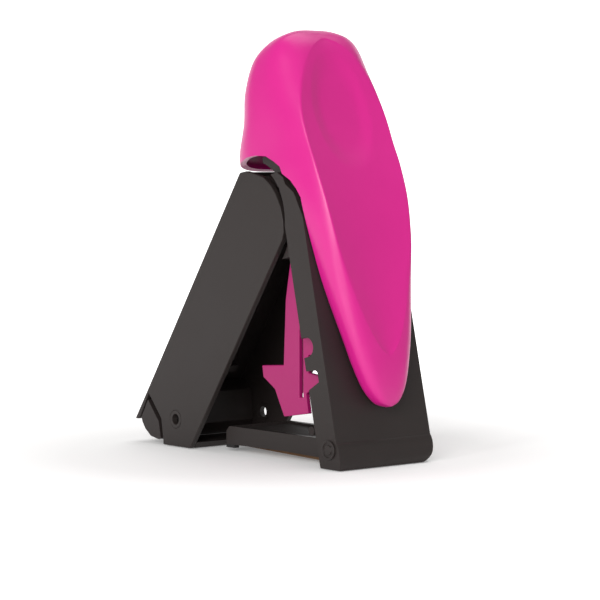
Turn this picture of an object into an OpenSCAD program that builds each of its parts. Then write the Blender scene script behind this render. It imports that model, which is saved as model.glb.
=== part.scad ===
// Folding pocket stamp: an A-shaped stand of two hinged legs and a base,
// with a sliding grip over the front leg that presses a sprung die flap.
// Millimetres, +Z up. X runs along the base, Y along the hinge pins.

/* [Stand] */
// outer width of both legs
body_w = 28.5; // [26:0.5:33]
// wall thickness of the legs
wall = 1.4; // [1.2:0.1:1.8]
// lean of the front leg from upright
front_lean = 13; // [12.5:0.1:13.5]
// lean of the support leg from upright
back_lean = 34.2; // [33.5:0.1:35]
// depth of the front leg's side walls
front_depth = 6.6; // [6.2:0.1:6.8]
// depth of the support leg's channel
back_depth = 21.1; // [20.6:0.1:22]
// height of the leg hinge, measured up the front leg
hinge_s = 60.8; // [60:0.1:61.5]
// leg hinge to the support leg's inner edge
hinge_in = 12.8; // [12.4:0.1:13]

/* [Base] */
// height of the base hinge above the floor
base_hinge_z = 4.3; // [4:0.1:4.6]
// base hinge behind the front face
base_hinge_q = 2.8; // [2.6:0.1:3]
// height of the rails' top above the floor
rail_top = 5.8; // [5.4:0.1:6]
// thickness of a rail
rail_t = 1.5; // [1.2:0.1:1.7]
// radius of the base hinge pin
base_pin_r = 0.8; // [0.7:0.05:0.9]
// radius of the leg hinge pin
leg_pin_r = 1.2; // [1:0.05:1.4]

/* [Die] */
// length of the die
die_len = 34; // [30:0.5:34.5]
// thickness of the rubber die
die_t = 1.3; // [1:0.1:1.4]
// thickness of the foam under the die
cushion_t = 0.8; // [0.6:0.1:0.9]
// thickness of the ink tray
tray_t = 0.9; // [0.8:0.1:1]
// thickness of the flap plate
flap_t = 1.2; // [1:0.1:1.3]
// turn of the flap from rest to the paper
flap_turn = 1.5; // [1:0.1:1.6]

/* [Grip] */
// travel of the grip down the front leg
press_travel = 1.5; // [1:0.1:1.6]
// wall thickness of the grip
grip_wall = 1.5; // [1.3:0.1:1.7]
// thickness of a fork plate
fork_t = 1.2; // [1:0.1:1.2]
// wire thickness of the grip spring
spring_wire = 0.8; // [0.6:0.05:0.9]
// outer radius of the grip spring
spring_r = 4.2; // [3.8:0.1:4.5]

/* [Button and cord hole] */
// travel of the release button
button_travel = 0.7; // [0.5:0.1:0.7]
// radius of the cord hole
cord_r = 1.3; // [1:0.05:1.5]

/* [Clearances] */
// gap between neighbouring moving pieces
gap = 0.3; // [0.25:0.05:0.4]
// running fit of a pin, on the radius
fit = 0.06; // [0.03:0.01:0.1]

/* [Hidden] */
$fn = 40;
t_x = -sin(front_lean);
t_z = cos(front_lean);
half = body_w / 2;
inner = half - wall;
lug_out = inner - gap;
lug_in = lug_out - wall;
fork_out = lug_in - gap;
fork_in = fork_out - fork_t;
base_out = fork_in - gap;
base_in = base_out - rail_t;
flap_half = base_in - gap;
die_w = 2 * flap_half - 1;
hinge_q = front_depth + hinge_in + gap;
leg_px = hinge_s * t_x - hinge_q * t_z;
leg_pz = hinge_s * t_z + hinge_q * t_x;
base_s = (base_hinge_z - base_hinge_q * t_x) / t_z;
base_px = base_s * t_x - base_hinge_q * t_z;
base_pz = base_hinge_z;
back_out = back_depth - hinge_in;
flap_lift = 0.1;
die_from = 5;
flap_reach = die_from + die_len + 1;
end_bar = 2;
base_reach = flap_reach + 1 + end_bar;
swing = 13.7;
head_gap = 1.5;
head_r = back_out - wall - head_gap;
spring_in = wall + 2.6;
foot_round = 4;
grip_half = half + 0.5;
stack = [for (v = [0, die_t, die_t + cushion_t, die_t + cushion_t + tray_t,
    die_t + cushion_t + tray_t + flap_t]) v + flap_lift];
toe_x = leg_px - back_out / cos(back_lean) - leg_pz * tan(back_lean);
cord_x = toe_x + 19.85;
cord_z = 6.5;
// Rows of the grip's form: distance up the leg, front, back, set in from the widest place.
grip_rows = [[13, 4, 1, 14.1], [14.2, 4.9, -2, 11.7], [17.5, 5.5, -5, 9.3], [23, 5.8, -7, 7.3],
    [30, 6, -8, 5.5], [41, 6.3, -9, 3.3], [51, 6.8, -10, 1.7], [60, 6.9, -13, 0.5], [68, 6.1, -20, 0],
    [74.5, 4.9, -25.6, 0], [83, 3.6, -21.4, 0], [90, 3, -19.4, 0.5], [96.3, 2.2, -15.6, 1.8],
    [99.6, 0.4, -10.8, 4.2], [101.4, -2, -7.6, 8.2], [102, -3.6, -6, 12.2]];
rows_n = len(grip_rows);
function row(i) = grip_rows[max(0, min(rows_n - 1, i))];
function blend(a, b, c, d, f) = b + 0.5 * f * (c - a + f * (2 * a - 5 * b + 4 * c - d
    + f * (3 * (b - c) + d - a)));
function grip_at(u) = let (i = min(rows_n - 2, floor(u)), f = u - i)
    blend(row(i - 1), row(i), row(i + 1), row(i + 2), f);
// ends of the object along X, for centring it
left_end = leg_px - back_out / cos(back_lean) + (5.4 - leg_pz) * tan(back_lean);
right_end = max([for (u = [0 : 0.1 : 4]) let (g = grip_at(u)) g[0] * t_x + g[1] * t_z]);
shift_x = -(left_end + right_end) / 2;

// Side-on outline given as [x, z], drawn from one y to another.
module slab(points, y0, y1) {
    translate([0, y1, 0]) rotate([90, 0, 0]) linear_extrude(height = y1 - y0) polygon(points);
}

// The same slab on both sides of the middle.
module pair(points, y0, y1) {
    slab(points, y0, y1);
    slab(points, -y1, -y0);
}

// A round bar along Y.
module bar(x, z, r, y0, y1) {
    translate([x, y1, z]) rotate([90, 0, 0]) cylinder(r = r, h = y1 - y0);
}

// Stands children up the front leg: X out of its face, Z along it.
module on_front() {
    rotate([0, -front_lean, 0]) children();
}

// Hangs children on the leg hinge along the support leg: X towards its open side.
module on_back() {
    translate([leg_px, 0, leg_pz]) rotate([0, back_lean, 0]) children();
}

// Everything below the floor, cut from the feet.
module below_floor() {
    translate([-100, -50, -40]) cube([200, 100, 40]);
}

module front_leg() {
    color("#2a2727") difference() {
        union() {
            on_front() {
                difference() {
                    slab([[-front_depth, -4], [0, -4], [0, 0.6], [0.35, 1.6], [0.45, 4.8], [0.25, 5.8],
                        [0, 6.2], [0, 57.5], [-wall - 0.1, 62.4], [-2, 63.6], [-4.4, 66], [-4.8, 67.6],
                        [-6.6, 69.2],
                        [-11, 69.2], [-11, hinge_s + 5], [-front_depth, hinge_s + 5]], -half, half);
                    slab([[-60, -5], [-wall, -5], [-wall, 90], [-60, 90]], -inner, inner);
                    slab([[-60, 57], [5, 57], [5, 90], [-60, 90]], -inner, inner);
                    bar(-hinge_q, hinge_s, swing, -50, 50);
                }
                translate([-wall, -8, 55]) cube([wall, 16, 23]);
                // inner lugs that stay under the hood
                difference() {
                    pair([[-wall + 0.2, 50], [-wall + 0.2, 56], [-3.2, 60], [-3.2, 68.6], [-5.4, 70.2],
                        [-6, 74], [-13, 74], [-13, 50]], lug_in, lug_out);
                    bar(-hinge_q, hinge_s, swing, -50, 50);
                }
                // foot lugs round the base hinge
                intersection() {
                    for (y = [-half, inner]) bar(-base_hinge_q, base_s, 3.4, y, y + wall);
                    translate([-20, -50, -5]) cube([19.6, 100, 60]);
                }
            }
        }
        below_floor();
        on_front() {
            bar(-base_hinge_q, base_s, base_pin_r + 0.01, -50, 50);
            // rounded far corner of the foot
            translate([-20, half, 0]) rotate([0, 90, 0]) difference() {
                translate([-foot_round, -foot_round, 0]) cube([2 * foot_round, 2 * foot_round, 40]);
                translate([-foot_round, -foot_round, -1]) cylinder(r = foot_round, h = 42);
            }
            // room for the base's barrel behind the face
            slab([[-9, 1.4], [-0.9, 1.4], [-0.9, 9.4], [-9, 9.4]], -base_out - gap, base_out + gap);
            // notches beside the tabs
            pair([[-9, 26.5], [-5.2, 26.5], [-5.2, 30.9], [-9, 30.9]], lug_in, half + 1);
            for (y = [-half - 1, lug_in]) bar(-5.2, 28.7, 2.2, y, y + half + 1 - lug_in);
            pair([[-9, 18.4], [-2.8, 20.4], [-2.8, 22.6], [-3.4, 23.2], [-9, 23.6]], lug_in, half + 1);
            // room for the flap's press bar when folded
            slab([[-9, 12.8], [-0.4, 12.8], [-0.4, 17.8], [-9, 17.8]], -inner, inner);
            // screw holes of the hinge head
            for (y = [-4.5, 4.5]) translate([-0.7, y, 55]) rotate([0, 90, 0]) {
                translate([0, 0, -8]) cylinder(r = 0.9, h = 9);
                cylinder(r = 1.6, h = 9);
            }
        }
    }
}

module hinge_head() {
    color("#2a2727") difference() {
        on_front() difference() {
            union() {
                slab([[-wall, 52], [-wall, 67], [-11.6, 67], [-hinge_q + 4, hinge_s + 9.6],
                    [-hinge_q + 2.2, hinge_s + 9.8], [-hinge_q - 2, hinge_s + 5], [-hinge_q, hinge_s - 5],
                    [-8, 52]], -base_out, base_out);
                bar(-hinge_q, hinge_s, head_r, -base_out, base_out);
            }
            bar(-hinge_q, hinge_s, leg_pin_r, -50, 50);
            for (y = [-4.5, 4.5]) translate([-6, y, 55]) rotate([0, 90, 0]) cylinder(r = 0.9, h = 20);
        }
        // kept clear of the support leg's back wall
        on_back() translate([-back_out - 50, -50, -50]) cube([50 + wall + 2 * gap, 100, 100]);
    }
}

module leg_hinge_pin() {
    color("#b8bcc0") on_front() {
        bar(-hinge_q, hinge_s, leg_pin_r, -inner - 0.8, inner + 0.8);
    }
}

module base_hinge_pin() {
    color("#2a2727") on_front() difference() {
        union() {
            bar(-base_hinge_q, base_s, base_pin_r, -half - 0.3, half + 0.3);
            for (y = [-half - 0.4, half]) bar(-base_hinge_q, base_s, 2.2, y, y + 0.4);
        }
        for (y = [-half - 0.5, half + 0.15]) difference() {
            bar(-base_hinge_q, base_s, 1.7, y, y + 0.35);
            bar(-base_hinge_q, base_s, 1.1, y - 1, y + 1);
            translate([-base_hinge_q, y - 1, base_s - 0.5]) cube([4, 3, 1]);
        }
    }
}

module head_screws() {
    color("#b8bcc0") on_front() for (y = [-4.5, 4.5]) translate([-6, y, 55]) rotate([0, 90, 0]) {
        cylinder(r = 0.9, h = 5.3);
        translate([0, 0, 5.3]) cylinder(r = 1.6, h = 0.6);
    }
}

module spring_post() {
    color("#3a3636") on_front() translate([-6, 0, 67]) {
        cylinder(r = 4.4, h = 1.2);
        cylinder(r = 2, h = 15.5 - press_travel);
    }
}

// Coil round Z from z0 to z1: turns of round wire, ends flat enough to seat.
spring_sides = 6;
spring_turns = 7;
function coil_at(r, z0, z1, turns, f) =
    [r * cos(360 * turns * f), r * sin(360 * turns * f), z0 + (z1 - z0) * f];
module coil(r, wire, z0, z1, turns) {
    rings = 8 * turns;
    pts = [for (i = [0 : rings]) let (f = i / rings, c = coil_at(r, z0, z1, turns, f), a = 360 * turns * f,
        climb = atan2(z1 - z0, 2 * PI * r * turns))
        for (k = [0 : spring_sides - 1]) let (b = 360 * k / spring_sides)
            [c[0] + wire * (cos(b) * cos(a) + sin(b) * sin(climb) * sin(a)),
             c[1] + wire * (cos(b) * sin(a) - sin(b) * sin(climb) * cos(a)),
             c[2] + wire * sin(b) * cos(climb)]];
    faces = concat(
        [for (i = [0 : rings - 1]) for (k = [0 : spring_sides - 1]) for (half_face = [0, 1])
            let (p = i * spring_sides + k, q = i * spring_sides + (k + 1) % spring_sides)
            half_face == 0 ? [p, p + spring_sides, q + spring_sides] : [p, q + spring_sides, q]],
        [[for (k = [0 : spring_sides - 1]) k]],
        [[for (k = [spring_sides - 1 : -1 : 0]) rings * spring_sides + k]]);
    polyhedron(points = pts, faces = faces);
}

module grip_spring() {
    color("#b8bcc0") on_front() translate([-6, 0, 0])
        coil(spring_r - spring_wire / 2, spring_wire / 2, 68.2 + spring_wire / 2 + 0.05,
            84.2 - spring_wire / 2 - 0.05, spring_turns);
    echo(spring_gap = (16 - spring_wire) / spring_turns - spring_wire);
}

function ease(v) = let (c = max(0, min(1, v))) c * c * (3 - 2 * c);
function round_end(v) = sqrt(max(0, 1 - pow(max(0, v), 2)));
// The face is cut flat across the form, so it meets the sides in a crease. Its half width, as a
// share of the form's, is rounded off at both ends.
face_share = 0.77;
form_power = 1 / 0.7 * 2;
function face_wide(s) = face_share * round_end((46 - s) / 21.5) * round_end((s - 87) / 12);
// Hollow of the face: a long shallow dish, deeper in an oval for the thumb.
dish_deep = 0.9;
thumb_deep = 0.8;
function dish(s, y, c) = dish_deep * face_wide(s) / face_share * max(0, 1 - pow(y / max(c, 0.01), 2))
    + thumb_deep * ease(1 - pow((s - 81) / 15, 2) - pow(y / 8.5, 2));
grip_points = 48;
// Closed solid through the rows, drawn inwards by inset.
module grip_form(inset, first, last) {
    steps = 3 * (last - first);
    pts = [for (j = [0 : steps]) let (g = grip_at(first + j / 3), c = (g[1] + g[2]) / 2,
        wide = grip_half - g[3], a = max(0.2, (g[1] - g[2]) / 2 - inset), b = max(0.2, wide - inset),
        share = face_wide(g[0]), full = a / pow(1 - pow(share, form_power), 1 / form_power))
        for (k = [0 : grip_points - 1]) let (w = 360 * k / grip_points,
            v = sign(sin(w)) * pow(abs(sin(w)), 0.7))
            [c + (cos(w) > 0.01 ? min(a, full * pow(cos(w), 0.7)) - dish(g[0], wide * v, wide * share)
                : -a * pow(abs(cos(w)), 0.7)), b * v, g[0]]];
    faces = concat(
        [for (j = [0 : steps - 1]) for (k = [0 : grip_points - 1]) for (half_face = [0, 1])
            let (p = j * grip_points + k, q = j * grip_points + (k + 1) % grip_points)
            half_face == 0 ? [p, p + grip_points, q + grip_points] : [p, q + grip_points, q]],
        [[for (k = [0 : grip_points - 1]) k]],
        [[for (k = [grip_points - 1 : -1 : 0]) steps * grip_points + k]]);
    polyhedron(points = pts, faces = faces);
}
cavity_top = grip_rows[rows_n - 3][0];

module grip_shell() {
    color("#d23087") on_front() difference() {
        grip_form(0, 0, rows_n - 1);
        grip_form(grip_wall, 2, rows_n - 3);
        // open below the hood and behind the tongue
        slab([[-80, -20], [-80, 61.6], [-21.7, 75], [-16.3, 75.4], [-12.9, 74.9], [-9.2, 73.5],
            [-6.6, 71.7], [-4.8, 70.1], [-4.4, 68.4], [-2, 66.3], [-0.6, 64.1], [gap, 61.9], [gap, -20]],
            -40, 40);
    }
}

// T-shaped plate with a slot, two hooks and a strip that runs up into the hood.
fork_shape = [[-10.3, 50], [-14.2, 41.1], [-16.7, 32.3], [-18.3, 26.6], [-26, 27.8], [-26.2, 25.1],
    [-22.7, 21.7], [-20.8, 15], [-12.1, 14.4], [-11.9, 18.9], [-6.4, 20.6], [-6.1, 22.1], [-10.1, 23.5],
    [-9.2, 27.4], [-7, 27.1], [-6, 28.7], [-6.4, 30.6], [-10, 31.9], [-13.1, 18.2],
    [-14.4, 18.5], [-11, 33.3], [-6.9, 42.6], [-2.2, 47], [-2.2, 76], [-5.4, 76], [-5.4, 55], [-8.7, 51.8]];

module press_fork() {
    color("#d23087") on_front() pair(fork_shape, fork_in, fork_out);
}

module fork_pins() {
    color("#b8bcc0") on_front() for (y = [-half + 0.3, fork_out])
        bar(-3.8, 74, 0.5, y, y + half - 0.3 - fork_out);
}

module spring_cup() {
    color("#d23087") on_front() translate([-6, 0, 84.2]) difference() {
        union() {
            cylinder(r = spring_r + 0.4, h = 2);
            cylinder(r = 3, h = cavity_top - 84.2);
        }
        translate([0, 0, -1]) cylinder(r = 2.4, h = 6);
    }
}

// Lower outer corner of the support leg, cut away for the release button.
corner_cut = [[-8.4, -5], [-8.4, 5.4], [4.85, 5.4], [5.65, 6.2], [9.05, 11.9], [14.05, 6.2], [14.85, 1],
    [14.85, -5]];
// Rounded top of the support leg's cheeks, round the hinge.
cheek_top = [[-back_out, 7.6], [-back_out + 1.6, 9.1], [-back_out + 4.5, 10.4], [-0.7, 11.6], [2.5, 11.6],
    [4.9, 11], [8.2, 9.4], [10.6, 7.4], [12.2, 5.4], [hinge_in, 3.6]];
module at_toe() {
    translate([toe_x, 0, 0]) children();
}
// What is cut from the support leg near the floor.
module toe_cuts() {
    below_floor();
    at_toe() slab(corner_cut, -40, 40);
    at_toe() translate([21.25, -9, -1]) cube([3, 18, 1.5]);
}

module support_leg() {
    color("#2a2727") difference() {
        on_back() difference() {
            slab([[-back_out, -90], [-back_out, 7.6], [-back_out + wall, 8.7], [-back_out + wall, -50],
                [hinge_in, -50], [hinge_in, -90]], -inner, inner);
            intersection() {
                slab([[-back_out + wall, -90], [-back_out + wall, -40], [40, -40], [40, -90]],
                    -inner - 1, inner + 1);
                rotate([0, -back_lean, 0]) translate([-100, -50, wall - leg_pz]) cube([200, 100, 100]);
            }
        }
        toe_cuts();
    }
}

module support_cheeks() {
    color("#2a2727") difference() {
        on_back() difference() {
            pair(concat([[-back_out, -90]], cheek_top, [[hinge_in, -90]]), inner, half);
            bar(0, 0, leg_pin_r + fit, -inner - 0.9, inner + 0.9);
        }
        toe_cuts();
        bar(cord_x, cord_z, cord_r + 0.8, -50, 50);
    }
}

module cord_bushes() {
    color("#2a2727") for (y = [-half, inner]) difference() {
        bar(cord_x, cord_z, cord_r + 0.8, y, y + wall);
        bar(cord_x, cord_z, cord_r, y - 1, y + wall + 1);
    }
}

module release_button() {
    color("#332f2f") at_toe() {
        slab([[6.05, 5.9], [9.8, 11.2], [12.3, 14.2], [15.65, 11.95], [16.25, 4.4], [14.45, 1.4],
            [13.05, 1.05],
            [9.85, 1.6], [7.65, 3.2], [6.45, 4.8]], -lug_out, lug_out);
        slab([[6.05, 5.9], [8.75, 10.4], [13.05, 5.4], [13.85, 1.4], [13.05, 1.05], [9.85, 1.6], [7.65, 3.2],
            [6.45, 4.8]], -half, half);
    }
}

// Stands children on the toe, along the support leg: X in from its outer face.
module on_toe() {
    at_toe() rotate([0, back_lean, 0]) children();
}

module button_spring() {
    color("#b8bcc0") on_toe() translate([spring_in, 0, 0]) coil(1.5, 0.3, 19.06, 24.76, 3);
}

module button_guide() {
    color("#3a3636") on_toe() {
        translate([wall, -4, 25.16]) cube([5.6, 8, 2]);
        translate([spring_in, 0, 18.66 + button_travel + gap])
            cylinder(r = 0.8, h = 6.7 - button_travel - gap);
    }
}

module back_foot_pad() {
    color("#1c1a1a") at_toe() translate([21.25, -9, 0]) cube([3, 18, 0.5]);
}

module base_frame() {
    color("#2a2727") difference() {
        union() {
            pair([[base_px - base_reach, 1.4], [base_px - base_reach, rail_top - 1.2],
                [base_px - base_reach + 1.2, rail_top], [base_px - 5, rail_top], [base_px, base_pz + 1.6],
                [base_px + 1, base_pz], [base_px, base_pz - 1.6], [base_px - 5, 1.4],
                [base_px - base_reach * 0.33, 1.6],
                [base_px - base_reach * 0.51, 1.7], [base_px - base_reach * 0.74, 1.6]], base_in, base_out);
            slab([[base_px - base_reach, 1.4], [base_px - base_reach, rail_top - 1.2],
                [base_px - base_reach + 1.2, rail_top], [base_px - base_reach + end_bar, rail_top],
                [base_px - base_reach + end_bar, 1.4]], -base_out, base_out);
            for (y = [base_in, -base_out]) bar(base_px, base_pz, 1.7, y, y + rail_t);
        }
        bar(base_px, base_pz, base_pin_r + fit, -50, 50);
    }
}

module base_feet() {
    color("#1c1a1a") for (y = [-base_out, base_in]) translate([base_px - base_reach, y, 0.7])
        cube([3, rail_t, 0.7]);
}

// The flap and what it carries are drawn flat on the paper, then lifted to rest.
module lifted() {
    translate([base_px, 0, base_pz]) rotate([0, flap_turn, 0]) translate([-base_px, 0, -base_pz]) children();
}

module die_flap() {
    color("#332f2f") lifted() difference() {
        union() {
            translate([base_px - flap_reach, -flap_half, stack[3]])
                cube([flap_reach - 1.4, 2 * flap_half, flap_t]);
            bar(base_px, base_pz, 1.7, -flap_half, flap_half);
            // cheeks that carry the press bar
            pair([[base_px - 12.2, stack[4] - 0.1], [base_px - 11.2, base_pz + 3.6],
                [base_px - 9, base_pz + 3.6], [base_px - 7, stack[4] - 0.1]], flap_half - 1.4, flap_half);
            bar(base_px - 10.1, base_pz + 2.9, 1, -fork_out, fork_out);
        }
        bar(base_px, base_pz, base_pin_r + fit, -50, 50);
    }
}

module ink_tray() {
    color("#3a3636") lifted() translate([base_px - die_from - die_len, -die_w / 2, stack[2]])
        cube([die_len, die_w, tray_t]);
}

module die_cushion() {
    color("#6a6666") lifted() translate([base_px - die_from - die_len, -die_w / 2, stack[1]])
        cube([die_len, die_w, cushion_t]);
}

module rubber_die() {
    color("#8a3a30") lifted() translate([base_px - die_from - die_len, -die_w / 2, stack[0]])
        cube([die_len, die_w, die_t]);
}

translate([shift_x, 0, 0]) {
    front_leg();
    hinge_head();
    leg_hinge_pin();
    base_hinge_pin();
    head_screws();
    spring_post();
    grip_spring();
    grip_shell();
    press_fork();
    fork_pins();
    spring_cup();
    support_leg();
    support_cheeks();
    cord_bushes();
    button_spring();
    button_guide();
    back_foot_pad();
    release_button();
    base_frame();
    base_feet();
    die_flap();
    ink_tray();
    die_cushion();
    rubber_die();
}
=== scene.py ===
# A folding pocket stamp standing open on a pale table, in metres.
import math

import bmesh
import bpy
import numpy as np
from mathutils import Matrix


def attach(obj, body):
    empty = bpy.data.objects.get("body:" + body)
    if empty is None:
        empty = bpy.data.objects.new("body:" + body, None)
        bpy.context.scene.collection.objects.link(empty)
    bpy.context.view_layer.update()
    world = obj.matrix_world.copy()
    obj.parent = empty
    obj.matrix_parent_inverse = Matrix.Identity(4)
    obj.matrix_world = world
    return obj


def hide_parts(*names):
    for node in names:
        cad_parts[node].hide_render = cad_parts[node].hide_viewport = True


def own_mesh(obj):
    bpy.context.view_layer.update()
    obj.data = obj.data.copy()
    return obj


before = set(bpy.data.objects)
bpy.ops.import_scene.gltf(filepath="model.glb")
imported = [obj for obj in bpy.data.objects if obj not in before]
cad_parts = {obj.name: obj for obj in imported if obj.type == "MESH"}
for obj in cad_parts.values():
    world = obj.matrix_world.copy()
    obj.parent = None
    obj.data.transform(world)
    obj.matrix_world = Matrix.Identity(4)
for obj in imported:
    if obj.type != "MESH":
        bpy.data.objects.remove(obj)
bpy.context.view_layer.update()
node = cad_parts
scene = bpy.context.scene
scene.view_settings.view_transform = "Standard"


# The camera stands far off at table height, as for a catalogue picture.
# It sees the stamp's near side and front, and looks a little down.
heading = math.radians(50.0)
looks_down = math.radians(3.49)
lens = bpy.data.cameras.new("catalogue_camera")
lens.sensor_width = 36.0
lens.lens = 147.7
viewer = bpy.data.objects.new("catalogue_camera", lens)
viewer.location = (0.44654, -0.36915, 0.071)
viewer.rotation_euler = (math.pi / 2 - looks_down, 0.0, heading)
scene.collection.objects.link(viewer)
scene.camera = viewer


# The table is a sheet of white paper that sweeps up behind the stamp.
# It shows as white to the camera and keeps the stamp's soft shadow, cast by the lamps, with painted
# shade added near the stamp.
def mesh_object(name, grid, wrap=False, caps=False):
    """A grid of points, rows by columns, becomes one skin of quads; wrap closes each
    row on itself, and caps fans each end row to its middle."""
    rows, cols = grid.shape[:2]
    r0, c0 = np.meshgrid(np.arange(rows - 1), np.arange(cols if wrap else cols - 1), indexing="ij")
    r1, c1 = r0 + 1, (c0 + 1) % cols
    corners = [r0 * cols + c0, r0 * cols + c1, r1 * cols + c1, r1 * cols + c0]
    faces = np.stack(corners, -1).reshape(-1, 4).tolist()
    points = grid.reshape(-1, 3)
    if caps:
        first, last = len(points), len(points) + 1
        points = np.concatenate([points, [grid[0].mean(0), grid[-1].mean(0)]])
        k = np.arange(cols)
        k1 = (k + 1) % cols
        end = (rows - 1) * cols
        faces += np.stack([np.full(cols, first), k1, k], -1).tolist()
        faces += np.stack([np.full(cols, last), end + k, end + k1], -1).tolist()
    mesh = bpy.data.meshes.new(name)
    mesh.from_pydata(points.tolist(), [], faces)
    made = bpy.data.objects.new(name, mesh)
    scene.collection.objects.link(made)
    return made


sheet_rows, half_width = 60, 1.6
near_end, far_end = -0.7, 1.7
bend_at, bend_power, rise = 0.55, 2.4, 1.1
below_feet = 0.0002
run = np.linspace(0.0, 1.0, sheet_rows)
past_bend = np.clip(run - bend_at, 0.0, 1.0) / (1 - bend_at)
away = np.array([-math.sin(heading), math.cos(heading)])
aside = np.array([math.cos(heading), math.sin(heading)])
reach = near_end + (far_end - near_end) * run
sheet = np.zeros((sheet_rows, 2, 3))
sheet[:, :, :2] = reach[:, None, None] * away
sheet[:, :, :2] += np.array([-half_width, half_width])[None, :, None] * aside
sheet[:, :, 2] = (rise * past_bend**bend_power - below_feet)[:, None]
table = mesh_object("table_sweep", sheet)
table.data.polygons.foreach_set("use_smooth", np.ones(len(table.data.polygons), bool))


def srgb(code):
    """Turns a hex colour, as it is seen, into the linear values that shaders take."""
    v = np.array([int(code[i : i + 2], 16) for i in (1, 3, 5)]) / 255.0
    lin = np.where(v <= 0.04045, v / 12.92, ((v + 0.055) / 1.055) ** 2.4)
    return (*lin.tolist(), 1.0)


def add(tree, kind, values=None, links=None, **settings):
    """One shader node: its own settings first, then values on its sockets, then links
    from other nodes' outputs."""
    made = tree.nodes.new("ShaderNode" + kind)
    for name, value in settings.items():
        setattr(made, name, value)
    for socket, value in (values or {}).items():
        made.inputs[socket].default_value = value
    for socket, source in (links or {}).items():
        tree.links.new(source, made.inputs[socket])
    return made


# Matt white paper. Camera and mirror rays see it glow up to white further out; near the stamp, from 50
# mm to 200 mm off its middle, the glow fades. That fade is painted shade: the floor reads darker round
# the stamp, on top of the lamps' real shadow.
paper = bpy.data.materials.new("matt_white_paper")
paper.use_nodes = True
tree = paper.node_tree
tree.nodes.clear()
matt = add(tree, "BsdfDiffuse", {"Color": srgb("#f4f3f2")})
rays = add(tree, "LightPath").outputs
seen = add(tree, "Math", None, {0: rays["Is Camera Ray"], 1: rays["Is Glossy Ray"]}, operation="MAXIMUM")
place = add(tree, "TexCoord")
span = add(tree, "VectorMath", None, {0: place.outputs["Object"]}, operation="LENGTH")
# Painted shade: the glow is dimmed close to the stamp, so the paper there is drawn darker.
painted_shade_near_stamp = add(
    tree,
    "MapRange",
    {"From Min": 0.05, "From Max": 0.2, "To Min": 0.17, "To Max": 1.0},
    {"Value": span.outputs["Value"]},
)
level = add(tree, "Math", None, {0: seen.outputs[0], 1: painted_shade_near_stamp.outputs["Result"]}, operation="MULTIPLY")
glow = add(tree, "Emission", None, {"Strength": level.outputs[0]})
both = add(tree, "AddShader", None, {0: matt.outputs[0], 1: glow.outputs[0]})
add(tree, "OutputMaterial", None, {"Surface": both.outputs[0]})
table.data.materials.append(paper)


# A pale room and three soft boxes light the stamp: a wide one above and behind
# it, one in front at the right for the grip's face and the legs, and a narrow
# upright one that draws the bright line along the near edge of that face.
room_light = 0.38
world = bpy.data.worlds.new("pale_room")
scene.world = world
world.use_nodes = True
tree = world.node_tree
room = tree.nodes["Background"]
room.inputs["Color"].default_value = srgb("#ffffff")
rays = add(tree, "LightPath").outputs
white = add(tree, "MapRange", {"To Min": room_light, "To Max": 1.0}, {"Value": rays["Is Camera Ray"]})
tree.links.new(white.outputs["Result"], room.inputs["Strength"])
stamp_middle = np.array([0.0, 0.0, 0.05])


def soft_box(name, place, wide, tall, watts):
    """A flat lamp at one point, turned to face the stamp's middle."""
    lamp = bpy.data.lights.new(name, "AREA")
    lamp.shape = "RECTANGLE"
    lamp.size, lamp.size_y = wide, tall
    lamp.energy = watts
    made = bpy.data.objects.new(name, lamp)
    made.location = place
    x, y, z = stamp_middle - np.array(place)
    made.rotation_euler = (math.atan2(math.hypot(x, y), -z), 0.0, math.atan2(y, x) - math.pi / 2)
    scene.collection.objects.link(made)


soft_box("back_box", (-0.05, 0.28, 1.1), wide=0.9, tall=0.9, watts=4.4)
soft_box("front_box", (0.6, -0.76, 0.36), wide=0.42, tall=0.42, watts=5.0)
soft_box("edge_strip", (0.27, -0.95, 0.26), wide=0.16, tall=0.5, watts=2.6)


# The front leg is a thin shell injection moulded in black ABS, with notches in its
# walls and a lip along its foot. The hinge head is screwed in behind its top, with
# the spring's post on the shell.
drift_mm = 1000 / 90  # colour and sheen wander over about 11 mm, as melt flow leaves them
grain_mm = 1000 / 5200  # real spark-eroded grain is about 0.03 mm; 0.19 mm is drawn, to show
grain_deep = 0.00004


def moulded(name, colour, tint, rough, wander, grain, gloss=0.5, metal=0.0):
    """A moulded surface: one noise drifts between two near colours and moves the
    roughness by wander to each side, and a finer noise gives the grain's bump."""
    made = bpy.data.materials.new(name)
    made.use_nodes = True
    tree = made.node_tree
    tree.nodes.clear()
    where = add(tree, "TexCoord").outputs["Object"]
    cloud = add(tree, "TexNoise", {"Scale": 1000 / drift_mm, "Detail": 4.0}, {"Vector": where})
    cloud = cloud.outputs["Fac"]
    ends = {"A": srgb(colour), "B": srgb(tint)}
    mix = add(tree, "Mix", ends, {"Factor": cloud}, data_type="RGBA")
    sheen = add(tree, "MapRange", {"To Min": rough - wander, "To Max": rough + wander}, {"Value": cloud})
    fine = add(tree, "TexNoise", {"Scale": 1000 / grain_mm, "Detail": 2.0}, {"Vector": where})
    bump = add(
        tree, "Bump", {"Strength": grain, "Distance": grain_deep}, {"Height": fine.outputs["Fac"]}
    )
    skin = add(
        tree,
        "BsdfPrincipled",
        {"Specular IOR Level": gloss, "Metallic": metal},
        {
            "Base Color": mix.outputs["Result"],
            "Roughness": sheen.outputs["Result"],
            "Normal": bump.outputs["Normal"],
        },
    )
    add(tree, "OutputMaterial", None, {"Surface": skin.outputs[0]})
    return made


def dress(names, material):
    """Gives CAD pieces one finish."""
    for name in names:
        node[name].data.materials.clear()
        node[name].data.materials.append(material)


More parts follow.
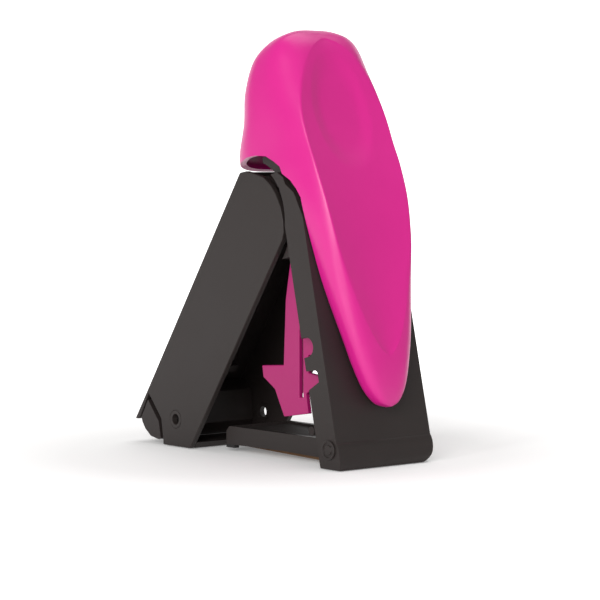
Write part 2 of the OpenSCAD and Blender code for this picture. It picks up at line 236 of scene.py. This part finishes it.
def settle(piece, material):
    """Makes the modifiers' result the piece's own mesh, in one material."""
    bpy.context.view_layer.update()
    shaped = piece.evaluated_get(bpy.context.evaluated_depsgraph_get())
    mesh = bpy.data.meshes.new_from_object(shaped)
    piece.modifiers.clear()
    piece.data = mesh
    mesh.name = piece.name
    mesh.materials.clear()
    mesh.materials.append(material)


merge_gap, flat_angle, sharp_angle = 0.000002, math.radians(1.0), math.radians(32.0)


def softened(name, source, body, material, width):
    """A moulding with its edges eased: the solid's own mesh, merged into clean flats,
    then bevelled by width along every sharp edge."""
    mesh = node[source].data.copy()
    mesh.polygons.foreach_set("use_smooth", np.ones(len(mesh.polygons), bool))
    made = bpy.data.objects.new(name, mesh)
    scene.collection.objects.link(made)
    weld = made.modifiers.new("weld", "WELD")
    weld.merge_threshold = merge_gap
    flats = made.modifiers.new("flats", "DECIMATE")
    flats.decimate_type = "DISSOLVE"
    flats.angle_limit = flat_angle
    bevel = made.modifiers.new("eased_edges", "BEVEL")
    bevel.width = width
    bevel.segments = 3
    bevel.limit_method = "ANGLE"
    bevel.angle_limit = sharp_angle
    bevel.use_clamp_overlap = True
    even = made.modifiers.new("even_shading", "WEIGHTED_NORMAL")
    even.weight = 100
    even.keep_sharp = True
    settle(made, material)
    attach(made, body)
    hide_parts(source)


# Satin black ABS: a warm black with broad, dull highlights.
satin_black = moulded(
    "satin_black_abs", "#2a2423", "#2e2826", rough=0.46, wander=0.05, grain=0.35, gloss=0.3
)
softened("front_leg_moulding", "front_leg", "stand", satin_black, width=0.0005)
dress(["hinge_head", "spring_post"], satin_black)


# The support leg is a deep channel of the same black ABS, open towards the front leg.
# Its side walls are eased at the edges; bushes line the cord hole, and a small bracket
# at the foot guides the release button's spring.
softened("support_cheek_mouldings", "support_cheeks", "support", satin_black, width=0.0006)
softened("support_back_moulding", "support_leg", "support", satin_black, width=0.0001)
dress(["cord_bushes", "button_guide"], satin_black)


# The release button is a black ABS corner of the support leg's foot.
# It slides up into the leg against its spring and lets the legs fold.
softened("release_button_moulding", "release_button", "button", satin_black, width=0.0006)


# The base is a black ABS frame of two rails and an end bar, hinged on the front leg's
# foot. Its pin is moulded too, and shows a flat grooved head on each side.
softened("base_moulding", "base_frame", "base", satin_black, width=0.0003)
softened("base_pin_heads", "base_hinge_pin", "stand", satin_black, width=0.0001)


# The flap carries the die between the rails and turns on the base's pin.
# It is black ABS from a coarser spark-eroded tool: matt, with hardly a highlight.
matt_black = moulded(
    "spark_eroded_black_abs", "#2a2423", "#2e2826", rough=0.72, wander=0.04, grain=0.4, gloss=0.3
)
softened("flap_moulding", "die_flap", "flap", matt_black, width=0.0002)
dress(["ink_tray"], satin_black)


# The grip is a hollow moulding in pink ABS: a hood over the leg's head that runs down
# the front as a long tongue. Its face is dished for the palm and hollowed for the thumb,
# and the hood slides on the leg.
leg_foot_x = 0.0374364  # the front leg's own axes start here, on the table
front_lean = math.radians(13.0)
out_of_face = np.array([math.cos(front_lean), 0.0, math.sin(front_lean)])
up_the_leg = np.array([-math.sin(front_lean), 0.0, math.cos(front_lean)])
# Each section's distance up the leg, front, back and half width, in millimetres.
stations = np.array(
    [
        [13, 4.2, 2.6, 0.65],
        [14.2, 4.9, 0.8, 3.05],
        [17.5, 5.55, -0.2, 5.45],
        [23, 6.2, -0.8, 7.45],
        [30, 6.6, -1.2, 9.25],
        [41, 6.7, -3, 11.45],
        [51, 6.9, -7, 13.05],
        [60, 6.6, -13, 14.25],
        [68, 5.4, -20, 14.75],
        [74.5, 4, -25.6, 14.75],
        [83, 2.7, -21.4, 14.75],
        [90, 2.1, -19.4, 14.25],
        [96.3, 1.4, -15.6, 12.95],
        [99.6, 0, -10.8, 10.55],
        [101.4, -2, -7.6, 6.55],
        [102, -3.6, -6, 2.55],
    ]
)
bend = 0.7  # of a section's corners, from 1, an ellipse, to 0, a box
power = 2 / bend
thinnest = 0.2
face_share, face_flare = 0.77, 0.1  # the face's width in the section's, and what the hood adds
flare_from, flare_run = 36, 16
tongue_top, tongue_run = 46, 21.5  # below this the face narrows to its lower point
crown_from, crown_run = 76, 23  # above this it closes round the top
least_share, crowding = 0.15, 0.9
crease_soft = 0.6
dish_deep = 0.9
thumb_deep, thumb_rim, thumb_up, thumb_long, thumb_wide = 0.55, 1.4, 81.5, 14.8, 8.7


def between(u):
    """A smooth curve through the stations (Catmull-Rom), read at u stations along."""
    i = np.clip(np.floor(u).astype(int), 0, len(stations) - 2)
    f = (u - i)[:, None]
    a, b, c, d = (stations[np.clip(i + k, 0, len(stations) - 1)] for k in (-1, 0, 1, 2))
    return b + 0.5 * f * (c - a + f * (2 * a - 5 * b + 4 * c - d + f * (3 * (b - c) + d - a)))


def ease(x):
    """Goes from 0 to 1 with level ends: 3 x squared less 2 x cubed."""
    x = np.clip(x, 0.0, 1.0)
    return x * x * (3 - 2 * x)


def round_end(v):
    """Stays at 1, then falls to 0 along a quarter circle."""
    return np.sqrt(np.clip(1 - np.clip(v, 0.0, None) ** 2, 0.0, None))


def grip_skin(inset, first, last, rows, face_cols, side_cols):
    """Rounded-box sections (superellipses) up the leg. A flat face cuts each one at a share
    of its width and meets the sides in a soft crease; the face sinks as a parabola across,
    and again in an oval for the thumb. Columns run round the sides and back, closest beside
    the crease, and then across the face."""
    s, front, rear, half = (x[:, None] for x in between(np.linspace(first, last, rows)).T)
    a = np.maximum(thinnest, (front - rear) / 2 - inset)
    b = np.maximum(thinnest, half - inset)
    share = face_share + face_flare * ease((s - flare_from) / flare_run)
    share = share * round_end((tongue_top - s) / tongue_run) * round_end((s - crown_from) / crown_run)
    full = a / (1 - share**power) ** (1 / power)
    edge = np.maximum(share, least_share)
    turn = np.arcsin(edge ** (1 / bend))
    t = np.linspace(0, 1, side_cols)[None]
    t = t - crowding * np.sin(2 * np.pi * t) / (2 * np.pi)
    w = turn + (2 * np.pi - 2 * turn) * t
    round_side = np.sign(np.sin(w)) * np.abs(np.sin(w)) ** bend
    side = np.where(np.cos(w) > 0, full, -a) * np.abs(np.cos(w)) ** bend
    across = edge * np.sin(np.linspace(-1, 1, face_cols + 2)[1:-1] * np.pi / 2)[None]
    face = full * (1 - np.abs(across) ** power) ** (1 / power)
    v = np.concatenate([round_side, across], 1)
    q = np.concatenate([side, face], 1)
    near = np.clip(1 - np.abs(q - a) / crease_soft, 0, 1)
    q = np.minimum(q, a) - crease_soft / 4 * near**2
    y = half * v
    sunk = dish_deep * np.clip(1 - (y / np.maximum(half * share, 0.01)) ** 2, 0, 1)
    sunk = sunk * share / face_share
    oval = 1 - ((s - thumb_up) / thumb_long) ** 2 - (y / thumb_wide) ** 2
    sunk = sunk + thumb_deep * ease(thumb_rim * oval)
    q = (front + rear) / 2 + q - sunk * (q > 0)
    grid = (q[..., None] * out_of_face + s[..., None] * up_the_leg) / 1000.0
    grid[..., 0] += leg_foot_x
    grid[..., 1] = b * v / 1000.0
    return grid


def face_out(piece):
    """Turns every face of a closed skin outwards."""
    bm = bmesh.new()
    bm.from_mesh(piece.data)
    bmesh.ops.recalc_face_normals(bm, faces=bm.faces)
    bm.to_mesh(piece.data)
    bm.free()


wall = 1.3
outside = grip_skin(inset=0, first=0, last=15, rows=300, face_cols=81, side_cols=191)
inside = grip_skin(inset=wall, first=2, last=13, rows=150, face_cols=41, side_cols=99)
grip = mesh_object("grip_moulding", outside, wrap=True, caps=True)
hollow = mesh_object("grip_hollow", inside, wrap=True, caps=True)
# What the legs' heads need free below the hood, out of the face and up the leg, in mm.
room_below = np.array(
    [
        [-80, -20],
        [-80, 60.8],
        [-21.9, 74.2],
        [-16.3, 74.8],
        [-12.9, 74.5],
        [-9.2, 73.5],
        [-6.6, 71.7],
        [-4.8, 70.1],
        [-4.4, 68.4],
        [-2, 66.3],
        [-0.6, 64.1],
        [0.3, 61.9],
        [0.3, -20],
    ]
)
beyond_walls = 0.04
prism = np.zeros((2, len(room_below), 3))
prism[:] = (room_below[:, :1] * out_of_face + room_below[:, 1:] * up_the_leg) / 1000.0
prism[:, :, 0] += leg_foot_x
prism[0, :, 1], prism[1, :, 1] = -beyond_walls, beyond_walls
corner = np.arange(len(room_below))
after = np.roll(corner, -1)
walls = np.stack([corner, after, len(corner) + after, len(corner) + corner], -1).tolist()
ends = [corner[::-1].tolist(), (len(corner) + corner).tolist()]
block = bpy.data.meshes.new("grip_under")
block.from_pydata(prism.reshape(-1, 3).tolist(), [], walls + ends)
below = bpy.data.objects.new("grip_under", block)
scene.collection.objects.link(below)
for shape in (grip, hollow, below):
    face_out(shape)
for tool in (hollow, below):
    cut = grip.modifiers.new("cut", "BOOLEAN")
    cut.operation = "DIFFERENCE"
    cut.solver = "EXACT"
    cut.object = tool
# Satin pink ABS: a strong magenta pink, smoother than the black, with soft clear highlights.
satin_pink = moulded(
    "satin_pink_abs", "#d31c88", "#d8208b", rough=0.33, wander=0.04, grain=0.25
)
settle(grip, satin_pink)
for tool in (hollow, below):
    bpy.data.objects.remove(tool)
crease_angle = math.radians(38.0)
grip.data.polygons.foreach_set("use_smooth", np.ones(len(grip.data.polygons), bool))
grip.data.set_sharp_from_angle(angle=crease_angle)
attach(grip, "grip")
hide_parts("grip_shell")


# The fork is two thin T-shaped plates of the grip's pink ABS, pinned in the hood so that they hang
# inside the legs' walls.
# Their pink is painted darker, as painted shade for the legs' shadow on them. The spring's upper cup is
# moulded in the grip's pink.
# Painted shade: this is the grip's pink made darker for the shadow the legs cast on the fork.
painted_shade_pink = moulded(
    "satin_pink_abs_painted_shade", "#a50f63", "#ab1469", rough=0.45, wander=0.04, grain=0.25
)
softened("fork_moulding", "press_fork", "grip", painted_shade_pink, width=0.0002)
dress(["spring_cup"], satin_pink)


# Pins and screws are drawn steel: grey, and a little bright along their length.
# They are pressed or driven into the mouldings, so only their ends could show.
drawn_steel = moulded(
    "drawn_steel", "#a9acaf", "#b8babc", rough=0.30, wander=0.06, grain=0.2, metal=1.0
)
dress(["leg_hinge_pin", "head_screws", "fork_pins"], drawn_steel)


# The two springs are coils of drawn steel wire, and both shorten in use.
# One stands on the front leg's post and lifts the grip after a press.
# The other pushes the release button back out of the support leg's foot.
wire_rows, wire_sides = 24, 12


def coil(name, foot, across, along, radius, wire, low, high, turns):
    """A ring of wire carried along a helix, square to its climb. The helix goes round the
    axis along through foot, from low to high on it, in mm; across is where it starts."""
    turn = np.linspace(0.0, 2 * np.pi * turns, wire_rows * turns + 1)[:, None]
    ring = np.linspace(0.0, 2 * np.pi, wire_sides, endpoint=False)[None, :]
    climb = math.atan2(high - low, 2 * np.pi * radius * turns)
    out = radius + wire * np.cos(ring)
    tilt = wire * np.sin(ring) * math.sin(climb)
    x = out * np.cos(turn) + tilt * np.sin(turn)
    y = out * np.sin(turn) - tilt * np.cos(turn)
    z = low + (high - low) * turn / turn[-1, 0] + wire * np.sin(ring) * math.cos(climb)
    grid = foot + (x[..., None] * across + z[..., None] * along) / 1000.0
    grid[..., 1] = y / 1000.0
    made = mesh_object(name, grid, wrap=True, caps=True)
    face_out(made)
    made.data.polygons.foreach_set("use_smooth", np.ones(len(made.data.polygons), bool))
    made.data.set_sharp_from_angle(angle=crease_angle)
    made.data.materials.append(drawn_steel)
    return made


# Seats, travel and places repeat the solids', in millimetres along each axis.
post_in, post_seat, cup_seat, grip_travel = 6.0, 68.2, 84.2, 1.5
post_foot = np.array([leg_foot_x, 0.0, 0.0]) - post_in / 1000 * out_of_face
grip_wire = {"radius": 3.8, "wire": 0.4, "low": 68.65, "high": 83.75, "turns": 7}
grip_coil = coil("grip_coil", post_foot, out_of_face, up_the_leg, **grip_wire)
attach(grip_coil, "stand")
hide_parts("grip_spring")
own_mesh(grip_coil)
back_lean = math.radians(34.2)
into_leg = np.array([math.cos(back_lean), 0.0, -math.sin(back_lean)])
up_the_back = np.array([math.sin(back_lean), 0.0, math.cos(back_lean)])
toe_x, spring_in, button_seat, guide_seat, button_travel = -0.04272, 4.0, 18.66, 25.16, 0.7
toe_foot = np.array([toe_x, 0.0, 0.0]) + spring_in / 1000 * into_leg
button_wire = {"radius": 1.5, "wire": 0.3, "low": 19.06, "high": 24.76, "turns": 3}
button_coil = coil("button_coil", toe_foot, into_leg, up_the_back, **button_wire)
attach(button_coil, "support")
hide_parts("button_spring")
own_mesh(button_coil)


# The feet are strips and dots of soft rubber, moulded and glued under the foot and rails.
# Such rubber is dull, with no clear highlight.
soft_rubber = moulded(
    "moulded_foot_rubber", "#1d1b1b", "#232020", rough=0.75, wander=0.05, grain=0.5
)
dress(["back_foot_pad", "base_feet"], soft_rubber)


# The die is a blank plate of amber-brown rubber on a cushion of grey ink foam, set in the
# flap's tray. The foam is rough and quite matt, and the rubber has a slight sheen.
ink_foam = moulded(
    "open_cell_ink_foam", "#6a6666", "#5c5858", rough=0.9, wander=0.05, grain=1.0
)
dress(["die_cushion"], ink_foam)
die_rubber = moulded(
    "cast_die_rubber", "#6e4d2c", "#624426", rough=0.6, wander=0.05, grain=0.4
)
dress(["rubber_die"], die_rubber)
